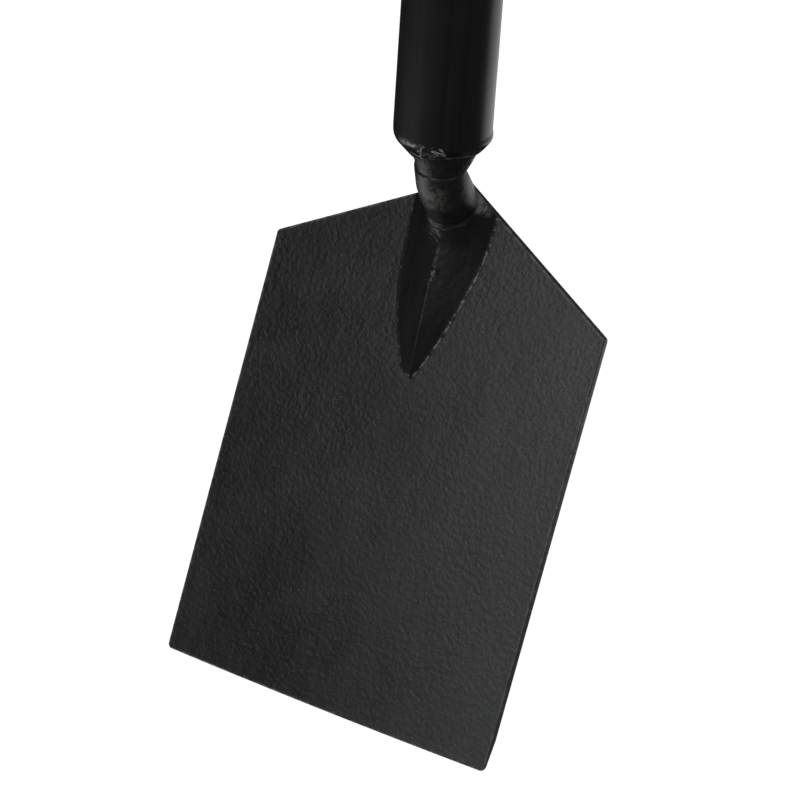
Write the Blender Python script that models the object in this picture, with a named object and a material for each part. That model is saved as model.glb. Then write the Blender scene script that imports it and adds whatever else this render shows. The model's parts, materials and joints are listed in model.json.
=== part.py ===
# Grub hoe: a forged steel head (plate blade, shank), a steel ferrule and an ash handle, held by one rivet.
# Metres, +Z up along the handle, cutting edge down, +X across the blade, -Y towards the user, whom the
# blade's inner face looks at. The origin is the bottom centre of the whole tool's box.
import math

import bmesh
import bpy
from mathutils import Matrix, Vector

# Blade: a flat plate with a straight-sided body and a low pointed heel
BLADE_WIDTH = 0.140
BLADE_SIDE = 0.1671
HEEL_RISE = 0.0399
BLADE_THICKNESS = 0.0037
EDGE_THICKNESS = 0.0012
GRIND_WIDTH = 0.012
EDGE_CROWN = 0.0006
CORNER_RADIUS = 0.002

# Shank: a raised foot on the inner face, a round neck that leans over in two bends, and a tang inside the
# handle. The neck's centre line runs through points given by their distance from the cutting edge and
# their height over the inner face.
FOOT_TIP = 0.1292
FOOT_HALF_WIDTH = 0.0174
FOOT_HEIGHT = 0.0085
FOOT_STEPS = 8
FOOT_SPREAD = 0.9
FOOT_CREST = ((0.03, 0.16), (0.18, 0.40), (0.62, 0.86), (0.94, 1.0))  # shares of length and of height
NECK_RADIUS = 0.0101
NECK_ROOT = (0.1945, 0.0)
NECK_KNEE = (0.2060, 0.0188)
NECK_TOP = (0.2163, 0.0267)
NECK_INSIDE = 0.010
NECK_END_RADIUS = 0.0099
ROOT_DEPTH = 0.002
HEEL_SETBACK = 0.0012
TANG_START = 0.013
TANG_TAPER_START = 0.042
TANG_LENGTH = 0.060
TANG_RADIUS = 0.0092
TANG_TIP_RADIUS = 0.0045

# Ferrule: a tube whose lower end is spun in to a nose around the neck. Its heights, and those of the weld,
# the handle and the rivet, are measured up the handle from the top of the neck.
HANDLE_ANGLE = math.radians(23.7)
FERRULE_RADIUS = 0.0180
FERRULE_WALL = 0.0020
FERRULE_LENGTH = 0.125
NOSE_START = 0.0015
NOSE_LIP_RADIUS = 0.0122
NOSE_LENGTH = 0.0062
SHOULDER_RADIUS = 0.0050

# Weld collar between the nose and the neck
COLLAR_DROP = 0.0040
COLLAR_LOWER_RADIUS = 0.0112
COLLAR_CLEARANCE = 0.0005

# Handle: a turned ash pole
HANDLE_LENGTH = 1.219
HANDLE_START = 0.0125
HANDLE_SEAT_END_RADIUS = 0.0105
HANDLE_LEAD_IN = 0.010
HANDLE_SHOULDER = 0.0015
HANDLE_NECK_RADIUS = 0.0168
HANDLE_GRIP_RADIUS = 0.0178
HANDLE_SWELL_START = 0.06
HANDLE_SWELL = 0.30
BUTT_ROUNDING = 0.012
BUTT_FLAT_RADIUS = 0.008
BORE_TAPER_START = 0.045
BORE_TIP_RADIUS = 0.0057
BORE_CLEARANCE = 0.004

# Rivet: a pin across ferrule and handle with a domed head at each end
RIVET_HEIGHT = 0.095
RIVET_RADIUS = 0.0030
RIVET_HEAD_RADIUS = 0.0056
RIVET_HEAD_HEIGHT = 0.0022

GAP = 0.0003
EDGE_BREAK = 0.0004
ROUND_STEPS = 48
BAR_STEPS = 36


def clear_scene():
    for item in list(bpy.data.objects):
        bpy.data.objects.remove(item, do_unlink=True)


def paint(name, color, roughness, metallic):
    material = bpy.data.materials.new(name)
    material.use_nodes = True
    shader = material.node_tree.nodes["Principled BSDF"]
    shader.inputs["Base Color"].default_value = (*color, 1.0)
    shader.inputs["Roughness"].default_value = roughness
    shader.inputs["Metallic"].default_value = metallic
    return material


def add_object(name, mesh, parent, material, sharp_angle=math.radians(35)):
    """Turn a bmesh into a named object under its parent frame."""
    bmesh.ops.recalc_face_normals(mesh, faces=mesh.faces)
    data = bpy.data.meshes.new(name)
    mesh.to_mesh(data)
    mesh.free()
    data.shade_smooth()
    data.set_sharp_from_angle(angle=sharp_angle)
    data.materials.append(material)
    item = bpy.data.objects.new(name, data)
    item.parent = parent
    bpy.context.collection.objects.link(item)
    return item


def add_frame(name, location, rotation, parent=None):
    frame = bpy.data.objects.new(name, None)
    frame.location = location
    frame.rotation_euler = rotation
    frame.parent = parent
    bpy.context.collection.objects.link(frame)
    return frame


def combine(target, tool, operation):
    """Apply an exact Boolean of the tool to the target, then delete the tool."""
    modifier = target.modifiers.new(operation.lower(), "BOOLEAN")
    modifier.operation = operation
    modifier.solver = "EXACT"
    modifier.object = tool
    bpy.context.view_layer.update()
    graph = bpy.context.evaluated_depsgraph_get()
    result = bpy.data.meshes.new_from_object(target.evaluated_get(graph))
    target.modifiers.clear()
    target.data = result
    bpy.data.objects.remove(tool, do_unlink=True)


def neck_point(place):
    """Point of the neck's centre line, in the blade's frame."""
    return Vector((0, *place))


def handle_direction():
    """Unit vector up the handle, in the blade's frame."""
    return Vector((0, math.cos(HANDLE_ANGLE), math.sin(HANDLE_ANGLE)))


def neck_angle():
    """Angle between the neck's upper stretch and the blade's face."""
    rise = neck_point(NECK_TOP) - neck_point(NECK_KNEE)
    return math.atan2(rise.z, rise.y)


def heel_edge(across):
    """Distance from the cutting edge to the heel's sloping edge, at a distance from the centre line."""
    return BLADE_SIDE + HEEL_RISE * (1 - abs(across) / (BLADE_WIDTH / 2))


def rounded(before, corner, after, radius, steps):
    """Points of an arc that rounds one corner of an outline."""
    to_before = (before - corner).normalized()
    to_after = (after - corner).normalized()
    half = to_before.angle(to_after) / 2
    inwards = (to_before + to_after).normalized()
    center = corner + inwards * (radius / math.sin(half))
    start = corner + to_before * (radius / math.tan(half)) - center
    sweep = math.pi - 2 * half
    turn = 1 if start.x * to_before.y - start.y * to_before.x < 0 else -1
    return [center + Matrix.Rotation(turn * sweep * i / steps, 2) @ start for i in range(steps + 1)]


def blade_outline():
    """Counter-clockwise outline of the plate, with rounded corners and a slightly crowned cutting edge."""
    half = BLADE_WIDTH / 2
    corners = [(-half, 0), (half, 0), (half, BLADE_SIDE), (0, BLADE_SIDE + HEEL_RISE), (-half, BLADE_SIDE)]
    corners = [Vector(corner) for corner in corners]
    arcs = [
        rounded(corners[i - 1], corners[i], corners[(i + 1) % 5], CORNER_RADIUS, 4) for i in range(5)
    ]
    crown_steps = 8
    reach = half - 2 * CORNER_RADIUS
    crown = []
    for i in range(crown_steps + 1):
        across = -reach + 2 * reach * i / crown_steps
        crown.append(Vector((across, -EDGE_CROWN * (1 - (across / half) ** 2))))
    return arcs[0] + crown + arcs[1] + arcs[2] + arcs[3] + arcs[4]


def make_blade(parent, material):
    mesh = bmesh.new()
    back = [mesh.verts.new((point.x, point.y, -BLADE_THICKNESS)) for point in blade_outline()]
    face = mesh.faces.new(back)
    extruded = bmesh.ops.extrude_face_region(mesh, geom=[face])["geom"]
    front = [vert for vert in extruded if isinstance(vert, bmesh.types.BMVert)]
    bmesh.ops.translate(mesh, vec=(0, 0, BLADE_THICKNESS), verts=front)
    everything = list(mesh.verts) + list(mesh.edges) + list(mesh.faces)
    bmesh.ops.bisect_plane(mesh, geom=everything, plane_co=(0, GRIND_WIDTH, 0), plane_no=(0, 1, 0))
    # the outer face is ground down to a thin cutting edge
    for vert in mesh.verts:
        if vert.co.z < -BLADE_THICKNESS / 2 and vert.co.y < GRIND_WIDTH:
            up = (vert.co.y + EDGE_CROWN) / (GRIND_WIDTH + EDGE_CROWN)
            vert.co.z = -EDGE_THICKNESS - (BLADE_THICKNESS - EDGE_THICKNESS) * up
    blade = add_object("blade", mesh, parent, material)
    bevel = blade.modifiers.new("broken_edges", "BEVEL")
    bevel.width = EDGE_BREAK
    bevel.segments = 2
    bevel.limit_method = "ANGLE"
    bevel.angle_limit = math.radians(50)
    return blade


def hull(points):
    mesh = bmesh.new()
    for point in points:
        mesh.verts.new(point)
    made = bmesh.ops.convex_hull(mesh, input=mesh.verts)
    spare = {item for key in ("geom_interior", "geom_unused") for item in made[key]}
    spare = [item for item in spare if item.is_valid and isinstance(item, bmesh.types.BMVert)]
    bmesh.ops.delete(mesh, geom=spare, context="VERTS")
    bmesh.ops.dissolve_limit(
        mesh, angle_limit=math.radians(0.5), verts=mesh.verts, edges=mesh.edges
    )
    bmesh.ops.triangulate(mesh, faces=[face for face in mesh.faces if len(face.verts) > 4])
    return mesh


def loft(rings):
    """Closed skin through rings of equal point counts, with a flat cap at each end."""
    mesh = bmesh.new()
    rows = [[mesh.verts.new(point) for point in ring] for ring in rings]
    for lower, upper in zip(rows, rows[1:]):
        for i in range(len(lower)):
            j = (i + 1) % len(lower)
            mesh.faces.new((lower[i], lower[j], upper[j], upper[i]))
    mesh.faces.new(list(reversed(rows[0])))
    mesh.faces.new(rows[-1])
    return mesh


def bar_ring(center, along, radius, cut):
    """Ring where a plane through the centre, with the normal cut, crosses a round bar."""
    side = Vector((1, 0, 0))
    up = along.cross(side)
    ring = []
    for i in range(BAR_STEPS):
        angle = 2 * math.pi * i / BAR_STEPS
        offset = (side * math.cos(angle) + up * math.sin(angle)) * radius
        ring.append(center + offset - along * (offset.dot(cut) / along.dot(cut)))
    return ring


def foot_points():
    """Base outline and crest of the raised foot, which widens from its tip to the heel."""
    length = heel_edge(FOOT_HALF_WIDTH) - HEEL_SETBACK - FOOT_TIP
    base = []
    for i in range(FOOT_STEPS + 1):
        share = i / FOOT_STEPS
        width = FOOT_HALF_WIDTH * math.sin(math.pi / 2 * share ** FOOT_SPREAD)
        base.append((width, FOOT_TIP + length * share))
    points = []
    for width, up in base:
        for side in (-1, 1):
            for height in (-ROOT_DEPTH, GAP):
                points.append((side * width, up, height))
    for share, rise in FOOT_CREST:
        points.append((0, FOOT_TIP + length * share, FOOT_HEIGHT * rise))
    return points


def cut_flat(item, height):
    """Cut off what is under a level plane in the item's own frame, and close the cut."""
    mesh = bmesh.new()
    mesh.from_mesh(item.data)
    everything = list(mesh.verts) + list(mesh.edges) + list(mesh.faces)
    cut = bmesh.ops.bisect_plane(
        mesh, geom=everything, plane_co=(0, 0, height), plane_no=(0, 0, 1), clear_inner=True
    )
    rim = [edge for edge in cut["geom_cut"] if isinstance(edge, bmesh.types.BMEdge)]
    bmesh.ops.contextual_create(mesh, geom=rim)
    bmesh.ops.recalc_face_normals(mesh, faces=mesh.faces)
    mesh.to_mesh(item.data)
    mesh.free()


def make_shank(parent, material):
    up = handle_direction()
    root, knee, top = (neck_point(place) for place in (NECK_ROOT, NECK_KNEE, NECK_TOP))
    lower = (knee - root).normalized()
    upper = (top - knee).normalized()
    buried = root - lower * (2 * ROOT_DEPTH / lower.z)
    rings = [
        bar_ring(buried, lower, NECK_RADIUS, Vector((0, 0, 1))),
        bar_ring(knee, upper, NECK_RADIUS, (lower + upper).normalized()),
        bar_ring(top, upper, NECK_RADIUS, (upper + up).normalized()),
        bar_ring(top + up * NECK_INSIDE, up, NECK_END_RADIUS, up),
        bar_ring(top + up * TANG_START, up, TANG_RADIUS, up),
        bar_ring(top + up * TANG_TAPER_START, up, TANG_RADIUS, up),
        bar_ring(top + up * TANG_LENGTH, up, TANG_TIP_RADIUS, up),
    ]
    shank = add_object("shank", loft(rings), parent, material)
    combine(shank, add_object("foot_tool", hull(foot_points()), parent, material), "UNION")
    cut_flat(shank, GAP)
    return shank


def turned(profile, steps=ROUND_STEPS):
    """Solid of revolution about Z from a closed profile of (radius, height) points off the axis."""
    mesh = bmesh.new()
    rows = []
    for i in range(steps):
        angle = 2 * math.pi * i / steps
        turn = Matrix.Rotation(angle, 3, "Z")
        rows.append([mesh.verts.new(turn @ Vector((radius, 0, height))) for radius, height in profile])
    for i in range(steps):
        here, there = rows[i], rows[(i + 1) % steps]
        for j in range(len(profile)):
            k = (j + 1) % len(profile)
            mesh.faces.new((here[j], there[j], there[k], here[k]))
    return mesh


def nose_profile(outer_radius, lip_radius, steps):
    """Cone from the lip out to the tube, with a rounded shoulder, as (radius, height) points."""
    slope = math.atan2(outer_radius - lip_radius, NOSE_LENGTH)
    shoulder = SHOULDER_RADIUS - (FERRULE_RADIUS - outer_radius)
    tangent = shoulder * math.tan(slope / 2)
    points = [(lip_radius, NOSE_START)]
    center_height = NOSE_START + NOSE_LENGTH + tangent
    for i in range(steps + 1):
        angle = slope * (1 - i / steps)
        radius = outer_radius - shoulder * (1 - math.cos(angle))
        points.append((radius, center_height - shoulder * math.sin(angle)))
    return points


def make_ferrule(parent, material):
    outer = nose_profile(FERRULE_RADIUS, NOSE_LIP_RADIUS, 4)
    inner = nose_profile(FERRULE_RADIUS - FERRULE_WALL, NECK_RADIUS + GAP, 3)
    top = NOSE_START + FERRULE_LENGTH
    rim = [(FERRULE_RADIUS, top - EDGE_BREAK), (FERRULE_RADIUS - EDGE_BREAK, top)]
    rim.append((FERRULE_RADIUS - FERRULE_WALL, top))
    return add_object("ferrule", turned(outer + rim + inner[::-1]), parent, material)


def make_collar(parent, material):
    """Ring of weld metal: its upper rim is square to the handle, its lower rim square to the neck."""
    up = Vector((0, 0, 1))
    neck = Matrix.Rotation(neck_angle() - HANDLE_ANGLE, 3, "X") @ up
    inner = NECK_RADIUS + COLLAR_CLEARANCE
    lower = neck * -COLLAR_DROP
    upper = up * (NOSE_START - GAP)
    rings = [
        bar_ring(upper, up, inner, up),
        bar_ring(lower, neck, inner, neck),
        bar_ring(lower, neck, COLLAR_LOWER_RADIUS, neck),
        bar_ring(upper, up, NOSE_LIP_RADIUS - EDGE_BREAK, up),
    ]
    mesh = bmesh.new()
    rows = [[mesh.verts.new(point) for point in ring] for ring in rings]
    for k in range(len(rows)):
        here, there = rows[k], rows[(k + 1) % len(rows)]
        for i in range(BAR_STEPS):
            j = (i + 1) % BAR_STEPS
            mesh.faces.new((here[i], here[j], there[j], there[i]))
    return add_object("nose_weld", mesh, parent, material)


def handle_profile():
    """Outer line of the pole from its lower end to its butt, as (radius, height) points."""
    seat = FERRULE_RADIUS - FERRULE_WALL - GAP
    seat_end = NOSE_START + FERRULE_LENGTH
    top = HANDLE_START + HANDLE_LENGTH
    points = [
        (HANDLE_SEAT_END_RADIUS, HANDLE_START),
        (seat, HANDLE_START + HANDLE_LEAD_IN),
        (seat, seat_end + GAP),
        (HANDLE_NECK_RADIUS, seat_end + GAP + HANDLE_SHOULDER),
    ]
    swell_steps = 6
    swell_start = seat_end + HANDLE_SWELL_START
    for i in range(swell_steps + 1):
        share = i / swell_steps
        blend = (1 - math.cos(math.pi * share)) / 2
        radius = HANDLE_NECK_RADIUS + (HANDLE_GRIP_RADIUS - HANDLE_NECK_RADIUS) * blend
        points.append((radius, swell_start + HANDLE_SWELL * share))
    rounding = HANDLE_GRIP_RADIUS - BUTT_FLAT_RADIUS
    butt_steps = 6
    for i in range(butt_steps + 1):
        angle = math.pi / 2 * i / butt_steps
        radius = HANDLE_GRIP_RADIUS - rounding * (1 - math.cos(angle))
        points.append((radius, top - BUTT_ROUNDING * (1 - math.sin(angle))))
    return points


def make_handle(parent, material):
    """The pole, with a blind tapered bore for the tang in its lower end."""
    bore = TANG_RADIUS + GAP
    bore_end = TANG_LENGTH + BORE_CLEARANCE
    line = [(BORE_TIP_RADIUS, bore_end), (bore, BORE_TAPER_START), (bore, HANDLE_START)] + handle_profile()
    mesh = bmesh.new()
    rows = []
    for i in range(ROUND_STEPS):
        turn = Matrix.Rotation(2 * math.pi * i / ROUND_STEPS, 3, "Z")
        rows.append([mesh.verts.new(turn @ Vector((radius, 0, height))) for radius, height in line])
    for i in range(ROUND_STEPS):
        here, there = rows[i], rows[(i + 1) % ROUND_STEPS]
        for j in range(len(line) - 1):
            mesh.faces.new((here[j], there[j], there[j + 1], here[j + 1]))
    mesh.faces.new([row[0] for row in rows])
    mesh.faces.new([row[-1] for row in reversed(rows)])
    return add_object("handle", mesh, parent, material)


def cross_pin(radius, length, head_radius, head_height, steps=24):
    """Pin along X, with a domed head at each end when a head is asked for."""
    half = length / 2
    line = [(radius, half)]
    dome_steps = 5
    if head_radius:
        line = [(radius, half), (head_radius, half)]
        for i in range(1, dome_steps):
            angle = math.pi / 2 * i / dome_steps
            line.append((head_radius * math.cos(angle), half + head_height * math.sin(angle)))
    profile = [(r, -h) for r, h in reversed(line)] + line
    lay = Matrix.Rotation(math.pi / 2, 3, "Y")
    rings = []
    for r, h in profile:
        ring = []
        for i in range(steps):
            turn = Matrix.Rotation(2 * math.pi * i / steps, 3, "Z")
            ring.append(lay @ (turn @ Vector((r, 0, h))))
        rings.append(ring)
    return loft(rings)


def drill(target, parent, material, radius):
    """Cut the rivet's hole across a part."""
    hole = add_object("drill_tool", cross_pin(radius, 4 * FERRULE_RADIUS, 0, 0), parent, material)
    hole.location.z = RIVET_HEIGHT
    combine(target, hole, "DIFFERENCE")


def make_rivet(parent, material):
    length = 2 * (FERRULE_RADIUS + GAP)
    mesh = cross_pin(RIVET_RADIUS, length, RIVET_HEAD_RADIUS, RIVET_HEAD_HEIGHT)
    rivet = add_object("rivet", mesh, parent, material)
    rivet.location.z = RIVET_HEIGHT
    return rivet


def stand_on_base(frame, parts):
    """Move the tool so that the bottom centre of its box is at the world's origin."""
    bpy.context.view_layer.update()
    graph = bpy.context.evaluated_depsgraph_get()
    corners = []
    for part in parts:
        shape = part.evaluated_get(graph)
        corners += [part.matrix_world @ vert.co for vert in shape.data.vertices]
    low = [min(corner[i] for corner in corners) for i in range(3)]
    high = [max(corner[i] for corner in corners) for i in range(3)]
    frame.location = (-(low[0] + high[0]) / 2, -(low[1] + high[1]) / 2, -low[2])


def main():
    clear_scene()
    black_paint = (0.021, 0.021, 0.022)
    blade_paint = paint("blade_paint", (0.030, 0.031, 0.031), 0.42, 0.0)
    shank_paint = paint("shank_paint", black_paint, 0.35, 0.0)
    ferrule_paint = paint("ferrule_paint", black_paint, 0.32, 0.0)
    weld_paint = paint("weld_paint", (0.026, 0.026, 0.026), 0.40, 0.0)
    ash_wood = paint("ash_wood", (0.62, 0.43, 0.25), 0.45, 0.0)
    rivet_steel = paint("rivet_steel", (0.42, 0.41, 0.39), 0.35, 1.0)

    # the handle's frame stands on the top of the neck, where its centre line meets the handle's axis
    handle_frame = add_frame("handle_frame", (0, 0, 0), (0, 0, 0))
    tilt = math.pi / 2 - HANDLE_ANGLE
    bend = Matrix.Rotation(tilt, 3, "X") @ neck_point(NECK_TOP)
    blade_frame = add_frame("blade_frame", -bend, (tilt, 0, 0), handle_frame)

    blade = make_blade(blade_frame, blade_paint)
    shank = make_shank(blade_frame, shank_paint)
    ferrule = make_ferrule(handle_frame, ferrule_paint)
    collar = make_collar(handle_frame, weld_paint)
    handle = make_handle(handle_frame, ash_wood)
    drill(ferrule, handle_frame, ferrule_paint, RIVET_RADIUS + GAP)
    drill(handle, handle_frame, ash_wood, RIVET_RADIUS + GAP)
    rivet = make_rivet(handle_frame, rivet_steel)
    stand_on_base(handle_frame, [blade, shank, ferrule, collar, handle, rivet])


main()
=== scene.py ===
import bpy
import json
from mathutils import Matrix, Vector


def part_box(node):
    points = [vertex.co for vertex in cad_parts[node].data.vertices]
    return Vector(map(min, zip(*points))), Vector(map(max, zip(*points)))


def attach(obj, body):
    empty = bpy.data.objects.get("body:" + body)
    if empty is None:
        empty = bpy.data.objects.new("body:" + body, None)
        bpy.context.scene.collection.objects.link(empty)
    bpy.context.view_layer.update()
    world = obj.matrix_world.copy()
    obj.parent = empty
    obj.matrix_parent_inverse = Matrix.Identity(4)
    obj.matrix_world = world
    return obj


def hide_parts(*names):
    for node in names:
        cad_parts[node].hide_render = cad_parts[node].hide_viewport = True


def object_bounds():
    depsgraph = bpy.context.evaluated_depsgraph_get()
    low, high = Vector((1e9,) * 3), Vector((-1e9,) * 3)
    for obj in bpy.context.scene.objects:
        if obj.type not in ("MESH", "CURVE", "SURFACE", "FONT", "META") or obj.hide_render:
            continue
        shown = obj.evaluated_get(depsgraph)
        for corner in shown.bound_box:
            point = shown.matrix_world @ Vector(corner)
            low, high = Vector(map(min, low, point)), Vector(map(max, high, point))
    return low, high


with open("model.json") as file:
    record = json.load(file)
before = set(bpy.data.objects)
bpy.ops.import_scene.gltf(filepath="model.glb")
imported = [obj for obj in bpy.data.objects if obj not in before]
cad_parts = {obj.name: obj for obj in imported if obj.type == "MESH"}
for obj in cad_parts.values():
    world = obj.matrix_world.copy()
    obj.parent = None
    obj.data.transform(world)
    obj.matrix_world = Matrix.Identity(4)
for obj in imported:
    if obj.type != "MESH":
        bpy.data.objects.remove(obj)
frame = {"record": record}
cadBox = [list(corner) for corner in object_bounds()]

import json
import math

import bpy
import numpy as np
from mathutils import Matrix, Vector, noise

mm = 0.001

# The blade's own frame: u across, v up from the cutting edge, n out of the inner face
mounts = {mount["name"]: mount for mount in frame["record"]["mounts"]}
faceMount = mounts["blade_inner_face"]
faceMountUp = 0.075  # how far the mount lies above the cutting edge
faceNormal = Vector(faceMount["axis"]).normalized()
bladeAcross = Vector((1, 0, 0))
bladeUp = faceNormal.cross(bladeAcross)
edgeMiddle = Vector(faceMount["pos_m"]) - bladeUp * faceMountUp
bladeAxes = np.array([bladeAcross, bladeUp, faceNormal])
bladeTilt = math.atan2(bladeUp.z, bladeUp.y)

# The handle stands upright over the top of the neck
noseRise = 0.0015  # the ferrule starts this far above the neck's top
ferruleLow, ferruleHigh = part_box("ferrule")
handleY = (ferruleLow.y + ferruleHigh.y) / 2
neckTop = Vector((0, handleY, ferruleLow.z - noseRise))

blade = {
    "halfWidth": 0.070,
    "side": 0.1671,
    "heelRise": 0.0399,
    "corner": 0.0020,
    "thickness": 0.0037,
    "edgeThickness": 0.0012,
    "grind": 0.012,
    "crown": 0.0006,
    "edgeRound": 0.0005,
    "cell": 0.00092,
    "dimple": 0.000014,
    "dimpleSize": 0.0024,
    "dimpleLength": 2.6,  # how much longer the dimples are along the blade
    "warp": 0.00006,
}


def bladeToWorld(points):
    return np.asarray(points) @ bladeAxes + np.array(edgeMiddle)


def toBlade(point):
    offset = Vector(point) - edgeMiddle
    return Vector((offset.dot(bladeAcross), offset.dot(bladeUp), offset.dot(faceNormal)))


def smoothStep(value, start, end):
    share = np.clip((value - start) / (end - start), 0, 1)
    return share * share * (3 - 2 * share)


def noiseAt(points, size, seed=0.0):  # one value from -1 to 1 for each point, features of the given size
    shift = Vector((seed, seed * 1.7, -seed))
    return np.array([noise.noise(Vector(point) / size + shift) for point in points])


def makePiece(name, points, faces, material):
    mesh = bpy.data.meshes.new(name)
    mesh.from_pydata([tuple(point) for point in points], [], [tuple(face) for face in faces])
    mesh.update()
    mesh.shade_smooth()
    mesh.materials.append(material)
    piece = bpy.data.objects.new(name, mesh)
    bpy.context.scene.collection.objects.link(piece)
    return piece


def addAttribute(piece, name, values):
    attribute = piece.data.attributes.new(name, "FLOAT", "POINT")
    attribute.data.foreach_set("value", np.asarray(values, np.float32))


def ringFaces(rings, around, closed=False):  # quads between rings of points that follow each other
    faces = []
    for i in range(rings if closed else rings - 1):
        nextRing = (i + 1) % rings
        for j in range(around):
            k = (j + 1) % around
            faces.append((i * around + j, i * around + k, nextRing * around + k, nextRing * around + j))
    return faces


def direction(azimuth, elevation):  # in degrees; azimuth 0 is the side that the blade's inner face looks to
    turn, climb = math.radians(azimuth), math.radians(elevation)
    return Vector((math.sin(turn) * math.cos(climb), -math.cos(turn) * math.cos(climb), math.sin(climb)))


# Node helpers, for shader trees and geometry trees alike
def addNode(tree, kind, values=None, **settings):
    node = tree.nodes.new(kind)
    for key, value in settings.items():
        setattr(node, key, value)
    for key, value in (values or {}).items():
        if isinstance(value, bpy.types.NodeSocket):
            tree.links.new(value, node.inputs[key])
        else:
            node.inputs[key].default_value = value
    return node


def calc(tree, operation, *values, clamp=False):
    node = addNode(tree, "ShaderNodeMath", dict(enumerate(values)), operation=operation, use_clamp=clamp)
    return node.outputs[0]


def plus(tree, first, second, clamp=False):
    return calc(tree, "ADD", first, second, clamp=clamp)


def minus(tree, first, second, clamp=False):
    return calc(tree, "SUBTRACT", first, second, clamp=clamp)


def times(tree, first, second):
    return calc(tree, "MULTIPLY", first, second)


def over(tree, first, second, clamp=False):
    return calc(tree, "DIVIDE", first, second, clamp=clamp)


def ramp(tree, value, low, high, toLow=0.0, toHigh=1.0):
    values = {"Value": value, "From Min": low, "From Max": high, "To Min": toLow, "To Max": toHigh}
    node = addNode(tree, "ShaderNodeMapRange", values, interpolation_type="SMOOTHSTEP")
    return node.outputs["Result"]


def blendColor(tree, share, first, second):
    node = addNode(tree, "ShaderNodeMix", {0: share, 6: first, 7: second}, data_type="RGBA")
    return node.outputs[2]


def addNoise(tree, place, scale, detail=3.0, roughness=0.55, warp=0.0):
    values = {"Vector": place, "Scale": scale, "Detail": detail, "Roughness": roughness, "Distortion": warp}
    return addNode(tree, "ShaderNodeTexNoise", values).outputs["Fac"]


def stretched(tree, place, scale, turn=(0, 0, 0), location=(0, 0, 0)):
    values = {"Vector": place, "Location": location, "Rotation": turn, "Scale": scale}
    return addNode(tree, "ShaderNodeMapping", values).outputs["Vector"]


def newGroup(name, values, outputs):  # every group takes a place besides its values
    tree = bpy.data.node_groups.new(name, "ShaderNodeTree")
    tree.interface.new_socket("Place", in_out="INPUT", socket_type="NodeSocketVector")
    for label, value in values.items():
        socket = tree.interface.new_socket(label, in_out="INPUT", socket_type="NodeSocketFloat")
        socket.default_value = value
    for label in outputs:
        tree.interface.new_socket(label, in_out="OUTPUT", socket_type="NodeSocketFloat")
    return tree, tree.nodes.new("NodeGroupInput").outputs, tree.nodes.new("NodeGroupOutput").inputs


def useGroup(tree, group, values):
    return addNode(tree, "ShaderNodeGroup", values, node_tree=group).outputs


def newMaterial(name):
    material = bpy.data.materials.new(name)
    material.use_nodes = True
    return material, material.node_tree, material.node_tree.nodes["Principled BSDF"]


def finishSurface(tree, shader, color, rough, height, strength, depth):
    bump = addNode(tree, "ShaderNodeBump", {"Height": height, "Strength": strength, "Distance": depth})
    tree.links.new(color, shader.inputs["Base Color"])
    tree.links.new(rough, shader.inputs["Roughness"])
    tree.links.new(bump.outputs["Normal"], shader.inputs["Normal"])


def objectPlace(tree):
    return addNode(tree, "ShaderNodeTexCoord").outputs["Object"]


# Forge scale under paint: soft pits, a fine grain and rare raised grains
def makeForgeSkin():
    values = {"Pit Size": 0.002, "Pit Depth": 0.5, "Grain Depth": 0.3}
    tree, given, out = newGroup("forgeSkin", values, ["Height", "Grains", "Cloud"])
    frequency = over(tree, 1.0, given["Pit Size"])
    pits = addNoise(tree, given["Place"], frequency, 1.5, 0.45, 0.15)
    ridges = ramp(tree, pits, 0.25, 0.80)
    fine = addNoise(tree, given["Place"], times(tree, frequency, 2.6), 2.0, 0.5)
    sparse = times(tree, frequency, 0.55)
    cells = addNode(tree, "ShaderNodeTexVoronoi", {"Vector": given["Place"], "Scale": sparse})
    grains = ramp(tree, cells.outputs["Distance"], 0.11, 0.05)
    rare = addNoise(tree, given["Place"], times(tree, frequency, 0.21), 1.0)
    grains = times(tree, grains, ramp(tree, rare, 0.56, 0.68))
    height = times(tree, ridges, given["Pit Depth"])
    height = plus(tree, height, times(tree, fine, given["Grain Depth"]))
    height = plus(tree, height, times(tree, grains, 0.55))
    tree.links.new(height, out["Height"])
    tree.links.new(grains, out["Grains"])
    tree.links.new(addNoise(tree, given["Place"], times(tree, frequency, 0.06), 3.0), out["Cloud"])
    return tree


# Rolling and brushing marks that run along the work
def makeDrawnStreaks():
    tree, given, out = newGroup("drawnStreaks", {"Width": 0.004, "Length": 0.05}, ["Streak", "Hairline"])
    across = over(tree, 1.0, given["Width"])
    along = over(tree, 1.0, given["Length"])
    size = addNode(tree, "ShaderNodeCombineXYZ", {"X": across, "Y": along, "Z": across}).outputs[0]
    squeezed = addNode(tree, "ShaderNodeVectorMath", {0: given["Place"], 1: size}, operation="MULTIPLY")
    place = squeezed.outputs[0]
    broad = addNoise(tree, place, 1.0, 3.0, 0.6, 0.4)
    thin = addNoise(tree, place, 6.0, 2.0, 0.5)
    tree.links.new(broad, out["Streak"])
    tree.links.new(ramp(tree, thin, 0.60, 0.70), out["Hairline"])
    return tree


# Rubbed edges and painted highlight lines along edges: a mask from a distance to the edge, broken up by
# noise
def makeEdgeWearAndHighlight():
    tree, given, out = newGroup("edgeWearAndHighlight", {"Distance": 0.01, "Reach": 0.001}, ["Rubbed", "Soft"])
    broken = addNoise(tree, given["Place"], 420.0, 4.0, 0.65)
    reach = times(tree, given["Reach"], ramp(tree, broken, 0.38, 0.68, 0.05, 2.0))
    wearAndHighlight = minus(tree, 1.0, over(tree, given["Distance"], reach), clamp=True)
    wide = times(tree, given["Reach"], 4.0)
    soft = minus(tree, 1.0, over(tree, given["Distance"], wide), clamp=True)
    tree.links.new(wearAndHighlight, out["Rubbed"])
    tree.links.new(soft, out["Soft"])
    return tree


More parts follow.
